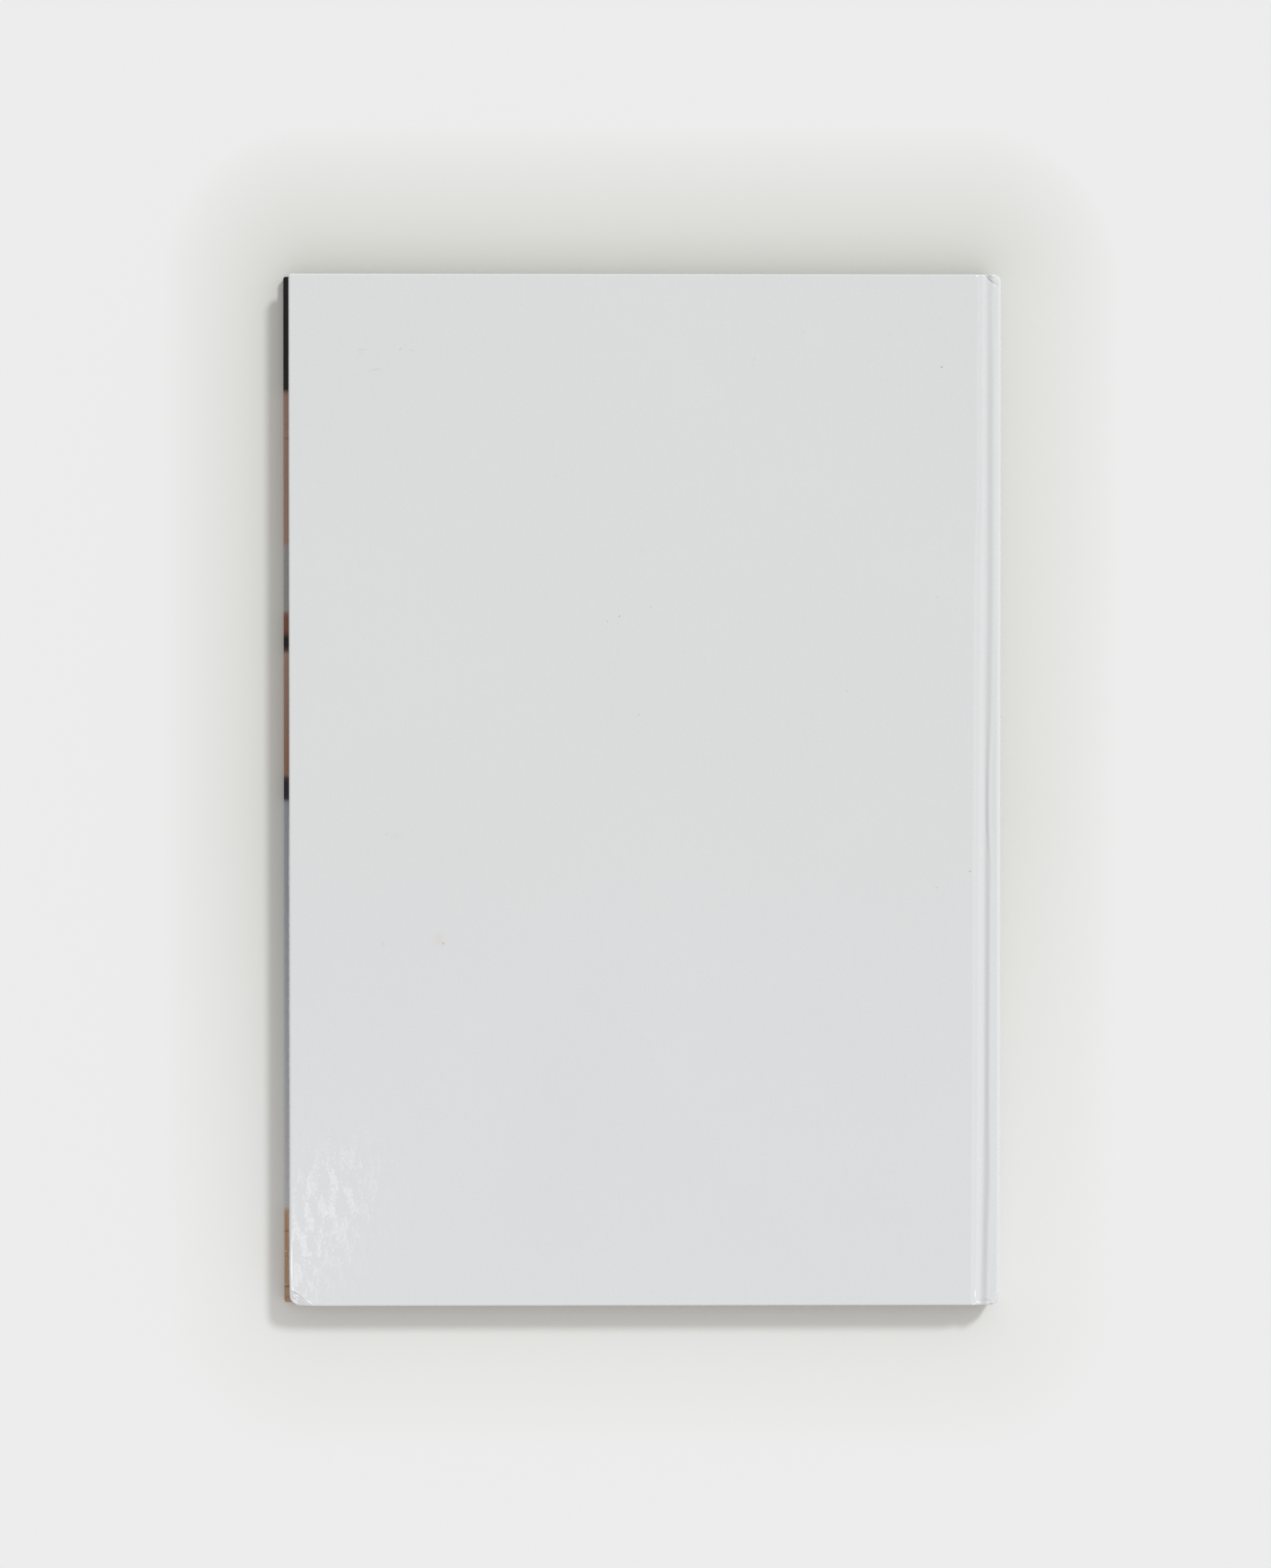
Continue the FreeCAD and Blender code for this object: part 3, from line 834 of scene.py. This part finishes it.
def placeInCorner(across, along, cornerRound):
    # Where two rows cross: distances from the fore edge and from the head or tail
    # edge, and the depth. Rows round the corner follow its curve.
    swap = across[2] > along[2]
    ring, leg = (along, across) if swap else (across, along)
    ringPlace, depth, legPlace = ring[0], ring[1], leg[2]
    if legPlace < cornerRound and ringPlace < cornerRound:
        start = max(ring[2], 0.0)
        turn = math.pi / 4 * (1 - (max(legPlace, 0) - start) / (cornerRound - start))
        radius = cornerRound - ringPlace
        ringPlace = cornerRound - radius * math.cos(turn)
        legPlace = cornerRound - radius * math.sin(turn)
    elif ring[4]:
        legPlace = max(legPlace, ringPlace + case["mitreGap"])
    return (legPlace, ringPlace, depth) if swap else (ringPlace, legPlace, depth)


def coverSheet(name, side, foreX, jointX, across, up, material, nodes):
    # side is 1 for the back cover, whose outer face is up, and -1 for the front
    thick = case["coverThick"]
    rim = rimRows(thick, case["rimRound"], case["turnIn"])
    outZ, inZ = (thickness, thickness - thick) if side > 0 else (0.0, thick)
    round1, round2 = case["spineRound"], case["innerRound"]
    outMiddleZ = outZ - side * (case["spineDrop"] + round1)
    outMiddleX = spinePlace(outMiddleZ, 0) - round1 / leanCosine
    inMiddleZ = inZ - side * round2
    inMiddleX = spinePlace(inMiddleZ, case["caseDepth"]) - round2 / leanCosine
    halfZ = thickness / 2

    # columns: the fore edge, the face, the joint, round the edge of the spine, and
    # down to the middle of the spine
    columns = [("cover", row) for row in rim] + [("cover", faceRow(x - foreX)) for x in across]
    path = []
    jointSteps = 38 if side > 0 else 20
    for x in spread(jointX, outMiddleX, jointSteps)[1:]:
        share = (x - jointX) / (outMiddleX - jointX)
        path.append(((x, outZ), (mix(jointX, inMiddleX, share), inZ), x))
    flat = outMiddleX
    for step in range(1, 13):
        angle = mix(side * math.pi / 2, -leanAngle, step / 12)
        flat += round1 * abs(side * math.pi / 2 + leanAngle) / 12
        path.append(((outMiddleX + round1 * math.cos(angle), outMiddleZ + round1 * math.sin(angle)),
                     (inMiddleX + round2 * math.cos(angle), inMiddleZ + round2 * math.sin(angle)), flat))
    outStart, inStart = path[-1][0], path[-1][1]
    outEnd, inEnd = (spinePlace(halfZ, 0), halfZ), (spinePlace(halfZ, case["caseDepth"]), halfZ)
    for step in range(1, 7):
        share = step / 6
        path.append(((mix(outStart[0], outEnd[0], share), mix(outStart[1], outEnd[1], share)),
                     (mix(inStart[0], inEnd[0], share), mix(inStart[1], inEnd[1], share)),
                     flat + share * abs(outStart[1] - halfZ) / leanCosine))
    columns += [("path", spot) for spot in path]

    rows = [(-1, row) for row in rim] + [(-1, faceRow(b)) for b in up]
    rows += [(1, faceRow(b)) for b in reversed(up)] + [(1, row) for row in reversed(rim)]
    points, places, rims = [], [], []
    foldedRows = sum(row[4] for row in rim)
    for kind, column in columns:
        for end, row in rows:
            if kind == "cover":
                knocked = side > 0 and end < 0
                a, b, depth = placeInCorner(column, row, case["knockedRound" if knocked else "cornerRound"])
                x = foreX + a
                flatX = x + column[3] - column[0]
                flatY = b + row[3] - row[0]
                outer, inner = outZ, inZ
                onRim = foldShare(min(column[2], row[2]))
            else:
                (x1, outer), (x2, inner), flatX = column
                b, depth = row[0], row[1]
                x = mix(x1, x2, depth)
                onRim = foldShare(row[2])
                flatY = row[3]
            if kind == "cover" and side > 0 and end < 0:
                lift = cornerLift(a, b)
                b, flatY = b + lift, flatY + lift
            y, flatY = end * (halfHeight - b), end * (halfHeight - flatY)
            if side > 0 and kind == "cover":
                x -= depth * smoothCurve(case["foreSpread"], -y) * smoothStep(12.0, 1.0, x - foreX)
            drop = 0.0
            if kind == "path" and x1 <= outMiddleX + 1e-6:
                if side > 0:
                    drop = jointDrop(x1 - jointX, y, outMiddleX - jointX)
                else:
                    drop = smoothCurve([
                        (jointX, 0), (jointX + 0.9, 0.04), (mix(jointX, outMiddleX, 0.5), 0.86),
                        (outMiddleX - 1.3, 0.44), (outMiddleX, case["spineDrop"])], x1)
            if kind == "path" and side > 0:
                knock = spineKnock(y, outer) * (1 - depth)
                knock *= smoothStep(outMiddleX - 1.2, outMiddleX + 1.2, x1)
                x -= knock
                drop += 0.35 * knock
            if side > 0:
                if x > jointX - 1:
                    drop += creaseDepth(joint["creases"], x - jointX, y)
                elif x < foreX + 8 and y < 0:
                    drop += crushDepth(x - foreX, halfHeight + y)
                slow = noise.noise(Vector((x / 46, y / 60, 1.7)))
                slow += 0.4 * noise.noise(Vector((x / 14, y / 22, 5.1)))
                drop += 0.022 * (1.4 + slow)
            z = mix(outer - side * max(drop, 0.0), inner, depth)
            if depth >= 1 and kind == "path":
                z = inner
            points.append((x, y, z))
            places.append((flatX, flatY))
            rims.append(onRim)
    width = len(rows)
    faces = []
    for i in range(len(columns) - 1):
        for j in range(width - 1):
            folded = j < foldedRows or j >= width - 1 - foldedRows
            if i < foldedRows and folded:
                continue
            corners = [i * width + j, (i + 1) * width + j, (i + 1) * width + j + 1, i * width + j + 1]
            faces.append(corners if side > 0 else corners[::-1])
    piece = makePiece(name, points, faces, places, rims, weld=True, sheet=case["sheet"], sharp=50)
    finishWith(piece, material)
    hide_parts(*nodes)
    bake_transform(piece)
    return piece


def grow(start, end, small, large, ratio=1.25):
    # Places from start to end, fine at the start and wider and wider after it
    places, step = [start], small
    while places[-1] + step * 1.5 < end:
        places.append(places[-1] + step)
        step = min(step * ratio, large)
    return places + [end]


def bothFine(start, end, small, large):
    middle = (start + end) / 2
    first = grow(start, middle, small, large)
    return first + [start + end - x for x in reversed(first[:-1])]


backAcross = [backLow.x + d for d in spread(0.7, 7.5, 28)]
backAcross += bothFine(backLow.x + 7.5, backHigh.x, 0.28, 5.0)[1:]
backUp = spread(0.7, 7.5, 28) + grow(7.5, halfHeight, 0.35, 3.2)[1:-1]
coverSkinBack = coverSheet("coverSkinBack", 1, backLow.x, backHigh.x, backAcross, backUp,
                           materials["white"],
                           ("back_covering", "spine_covering"))
frontAcross = [frontLow.x + d for d in (0.7, 1.2)] + bothFine(frontLow.x + 2, frontHigh.x, 0.8, 9.0)
frontUp = [0.7, 1.2] + grow(2, halfHeight, 0.8, 6.0)[:-1]
coverSkinFront = coverSheet("coverSkinFront", -1, frontLow.x, frontHigh.x, frontAcross, frontUp,
                            materials["printed"],
                            ("front_covering",))
print("the covering has", len(coverSkinBack.data.polygons) + len(coverSkinFront.data.polygons), "faces")


# ---- boards and spine card ----
def boardSlab(name, foreX, farX, lowZ, highZ):
    # The back board, crushed with its corner
    inset = case["sheet"]
    rim = [(0.25, 0.0, 0.25, 0, False), (0.07, 0.03, 0.18, 0, False), (0.0, 0.1, 0.12, 0, False),
           (0.0, 0.9, 0.06, 0, False), (0.07, 0.97, 0.03, 0, False), (0.25, 1.0, 0.0, 0, False)]
    across = rim[::-1] + [faceRow(d) for d in spread(0.6, 7.5, 18) + grow(7.5, farX - foreX, 0.8, 12.0)[1:]]
    ups = spread(0.6, 7.5, 18) + grow(7.5, halfHeight - inset, 0.8, 12.0)[1:-1]
    up = [(-1, row) for row in rim[::-1]] + [(-1, faceRow(d)) for d in ups]
    up += [(1, row) for _, row in reversed(up)]
    points = []
    for column in across:
        for end, row in up:
            a, b, depth = placeInCorner(column, row, case["knockedRound"] - inset if end < 0 else 0.75)
            x, y = foreX + a, end * (halfHeight - inset - b)
            drop = crushDepth(a + inset, b + inset) if end < 0 and x < foreX + 8 else 0.0
            points.append((x, y, mix(highZ - drop - 0.06, lowZ, depth)))
    width = len(up)
    faces = gridFaces(len(across), width)
    outline = list(range(width)) + [i * width + width - 1 for i in range(1, len(across))]
    outline += [(len(across) - 1) * width + j for j in range(width - 2, -1, -1)]
    outline += [i * width for i in range(len(across) - 2, 0, -1)]
    bottom = {}
    for index in outline:
        x, y, _ = points[index]
        bottom[index] = len(points)
        points.append((x, y, lowZ))
    loop = outline + outline[:1]
    faces += [(a, b, bottom[b], bottom[a]) for a, b in zip(loop, loop[1:])]
    faces.append([bottom[index] for index in outline])
    return makePiece(name, points, faces, weld=True, closed=True)


backBoard = boardSlab("backBoard", backLow.x + case["sheet"], backHigh.x,
                      thickness - case["boardTop"], thickness - case["sheet"])
finishWith(backBoard, materials["board"])
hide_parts("back_board")
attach(backBoard, "back_cover")


def stripSolid(name, outer, inner, ys, places=None, shift=None, sharp=40):
    # A sheet whose section lies between two lines of x, z points, along y
    points, flats, faces = [], [], []
    for i, spots in enumerate(zip(outer, inner)):
        for spotX, spotZ in spots:
            for spotY in ys:
                x, y, z = spotX, spotY, spotZ
                if shift:
                    x, y, z = shift(x, y, z)
                points.append((x, y, z))
                flats.append((places[i] if places else x, y))
    width = len(ys)

    def at(i, layer, j):
        return (i * 2 + layer) * width + j
    count = len(outer)
    for i in range(count - 1):
        for j in range(width - 1):
            faces.append((at(i, 0, j), at(i + 1, 0, j), at(i + 1, 0, j + 1), at(i, 0, j + 1)))
            faces.append((at(i, 1, j), at(i, 1, j + 1), at(i + 1, 1, j + 1), at(i + 1, 1, j)))
        for j in (0, width - 1):
            faces.append((at(i, 0, j), at(i, 1, j), at(i + 1, 1, j), at(i + 1, 0, j)))
    for i in (0, count - 1):
        for j in range(width - 1):
            faces.append((at(i, 0, j), at(i, 0, j + 1), at(i, 1, j + 1), at(i, 1, j)))
    return makePiece(name, points, faces, flats, closed=True, sharp=sharp)


def cardSection():
    # The spine card between its two faces, its outer corners rounded
    bend = case["spineRound"] - case["sheet"]
    outer, inner = [], []
    low, high = case["spineDrop"] + case["sheet"], thickness - case["spineDrop"] - case["sheet"]
    for side in (1, -1):
        edge = high if side > 0 else low
        middleZ = edge - side * bend
        middleX = spinePlace(middleZ, case["sheet"]) - bend / leanCosine
        ring = [(middleX + bend * math.cos(angle), middleZ + bend * math.sin(angle))
                for angle in spread(side * math.pi / 2, -leanAngle, 7)]
        if side < 0:
            ring.reverse()
        outer += ring
    for z in spread(high, low, len(outer)):
        inner.append((spinePlace(z, case["cardDepth"]), z))
    return outer, inner


cardOuter, cardInner = cardSection()
cardEnd = halfHeight - 2.2     # short of the knocked ends
cardYs = [-cardEnd + d for d in (0, 0.4, 0.9, 1.5, 2.3, 3.4, 5, 7)]
cardYs += [-100, -50, 0, 50, 100] + [-y for y in reversed(cardYs)]


def knockCard(x, y, z):
    outward = smoothStep(spinePlace(z, case["cardDepth"]), spinePlace(z, case["sheet"]) - 0.2, x)
    knock = spineKnock(y, z) * outward
    return x - knock, y, z - 0.35 * knock - 0.06 * smoothStep(9, 10, z)


spineCard = stripSolid("spineCard", cardOuter, cardInner, cardYs, shift=knockCard)
finishWith(spineCard, materials["board"])
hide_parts("spine_strip")
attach(spineCard, "text_block")
print("boards and spine card are ready")


# ---- gauze, endpapers and leaves ----
endpaper = {
    "leafHalf": pastedownHigh.y,
    "foreX": {1: pastedownLow.x, -1: frontLow.x + case["square"]},
    "sink": 0.25,           # the turn-ins show through the glued half
}


def paperAndGauze(side, jointX, foreX, sideName):
    # side is 1 at the back cover and -1 at the front
    def level(z):
        return thickness - z if side > 0 else z

    # gauze: a flap on the board, over the joint, and half of the spine
    outZ, inZ, middle = level(case["boardTop"]), level(case["coverThick"]), thickness / 2
    turnX = spinePlace(outZ, case["gauzeDepth"])
    flap = case["gauzeFlap"]
    xs = [jointX - flap, jointX - 12] + spread(jointX, turnX - 0.35, 14)
    outer = [(x, outZ) for x in xs]
    inner = [(x, inZ) for x in xs]
    for share in (0.25, 0.6, 1.0):
        angle = share * (math.pi / 2 + side * leanAngle)
        outer.append((turnX - 0.35 + 0.3 * math.sin(angle), outZ - side * 0.3 * (1 - math.cos(angle))))
        inner.append((turnX - 0.35 + 0.06 * math.sin(angle), inZ - side * 0.06 * (1 - math.cos(angle))))
    for z in spread(outer[-1][1], middle, 5)[1:]:
        outer.append((spinePlace(z, case["gauzeDepth"]), z))
        inner.append((spinePlace(z, case["leafDepth"]), z))
    flats = [0.0]
    for a, b in zip(outer, outer[1:]):
        flats.append(flats[-1] + math.dist(a, b))
    reach = halfHeight - case["turnIn"] - 0.5
    gauze = stripSolid("gauze" + sideName, outer, inner, spread(-reach, reach, 12), flats)
    finishWith(gauze, materials["gauze"])
    nodes = [sideName.lower() + "_gauze_flap"] + (["spine_gauze"] if side > 0 else [])
    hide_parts(*nodes)
    foldX = spinePlace(inZ, case["leafDepth"])
    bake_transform(gauze)

    # glued half: sinks between the turn-ins, and carries on over the joint
    half = endpaper["leafHalf"]
    sinkX = foreX - case["square"] + case["turnIn"]
    sinkY = halfHeight - case["turnIn"]
    xs = [foreX, foreX + 4, foreX + 8] + spread(sinkX - 0.6, sinkX + 1.2, 7)
    xs += spread(sinkX + 8, jointX - 30, 14) + spread(jointX - flap - 0.8, jointX - flap + 0.6, 5)
    xs += [jointX - 16, jointX - 8] + spread(jointX, foldX - 0.1, 16)
    ys = [-half, -half + 6] + spread(-sinkY - 1.0, -sinkY + 1.4, 8)
    ys += spread(-sinkY + 8, 0, 12)
    ys += [-y for y in reversed(ys[:-1])]
    points, places = [], []
    for x in xs:
        for y in ys:
            sunk = smoothStep(sinkX, sinkX + 0.5, x) * smoothStep(sinkY, sinkY - 0.5, abs(y))
            sunk *= smoothStep(jointX - flap, jointX - flap - 0.5, x)
            ripple = 0.012 * noise.noise(Vector((x / 20, y / 16, side * 3)))
            points.append((x, y, level(3.18 - endpaper["sink"] * sunk - 0.012 + ripple)))
            places.append((x, y))
    faces = gridFaces(len(xs), len(ys), flip=side > 0)
    glued = makePiece("pastedown" + sideName, points, faces, places, sheet=case["paper"] - 0.02)
    finishWith(glued, materials["endpaper"])
    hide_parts(sideName.lower() + "_pastedown")
    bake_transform(glued)

    # free half: lies on the leaves and folds back to meet the glued half
    leafX = foreX - side * lean * 3.27
    top, low = level(3.19), level(3.355)
    xs = [leafX, leafX + 0.5, leafX + 6] + spread(leafX + 20, foldX - 8, 9) + [foldX - 3, foldX - 0.5]
    outer = [(x, top) for x in xs]
    inner = [(x, low) for x in xs]
    foldMiddle = level(3.18)
    for step in range(1, 7):
        angle = math.pi * step / 6
        outer.append((foldX - 0.35 + 0.01 * math.sin(angle), foldMiddle - side * 0.01 * math.cos(angle)))
        inner.append((foldX - 0.35 + 0.175 * math.sin(angle), foldMiddle - side * 0.175 * math.cos(angle)))
    free = stripSolid("flyleaf" + sideName, outer, inner, spread(-half + 0.05, half - 0.05, 15),
                      xs + [foldX + 0.1 * i for i in range(6)])
    finishWith(free, materials["endpaper"])
    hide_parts(sideName.lower() + "_endpaper")
    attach(free, "text_block")


paperAndGauze(1, backHigh.x, endpaper["foreX"][1], "Back")
paperAndGauze(-1, frontHigh.x, endpaper["foreX"][-1], "Front")

leaves = {
    "sections": 4,
    "sheetsEach": 3,        # folded sheets, so twice as many leaves
    "unevenTrim": 0.07,
    "seed": 11,
}


def foldedSheet(name, lowZ, highZ, depth, thick, shakes):
    # One folded sheet of a section: two leaves and the fold between them
    middleZ = (lowZ + highZ) / 2
    radius = (highZ - lowZ) / 2
    foldX = spinePlace(middleZ, depth) - radius
    lowFore, highFore = [leafLow.x + lean * (z - leafLow.z) + shake
                         for z, shake in ((lowZ, shakes[0]), (highZ, shakes[1]))]
    runs = [0, 0.004, 0.05, 0.3, 0.6, 0.9, 1]
    outer = [(mix(highFore, foldX, s), highZ) for s in runs]
    inner = [(mix(highFore, foldX, s), highZ - thick) for s in runs]
    for step in range(1, 8):
        angle = math.pi / 2 - math.pi * step / 8
        outer.append((foldX + radius * math.cos(angle), middleZ + radius * math.sin(angle)))
        small = max(radius - thick, 0.004)
        inner.append((foldX + small * math.cos(angle), middleZ + small * math.sin(angle)))
    outer += [(mix(lowFore, foldX, s), lowZ) for s in reversed(runs)]
    inner += [(mix(lowFore, foldX, s), lowZ + thick) for s in reversed(runs)]
    half = leafHigh.y - shakes[2]
    return stripSolid(name, outer, inner, spread(-half + shakes[3], half, 9))


dice = random.Random(leaves["seed"])
sectionHigh = (leafHigh.z - leafLow.z) / leaves["sections"]
leafStep = sectionHigh / (2 * leaves["sheetsEach"])
leafSheets = []
for section in range(leaves["sections"]):
    base = leafLow.z + section * sectionHigh
    for sheet in range(leaves["sheetsEach"]):
        gap = 0.006
        piece = foldedSheet(
            f"leafSheet.{section + 1}.{sheet + 1}",
            base + sheet * leafStep + gap, base + sectionHigh - sheet * leafStep - gap,
            case["leafDepth"] + 0.01 + sheet * leafStep, leafStep - 2 * gap,
            [dice.uniform(0, leaves["unevenTrim"]) for _ in range(4)])
        finishWith(piece, materials["leaves"])
        leafSheets.append(piece)
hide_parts("page_block")
for piece in leafSheets:
    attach(piece, "text_block")
print("gauze, endpapers and", len(leafSheets), "folded sheets are ready")

for node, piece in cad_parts.items():
    if not piece.hide_render:
        piece.data.materials.clear()
        piece.data.materials.append(materials["board" if "board" in node else "endpaper"])
        print("kept from the case:", node)
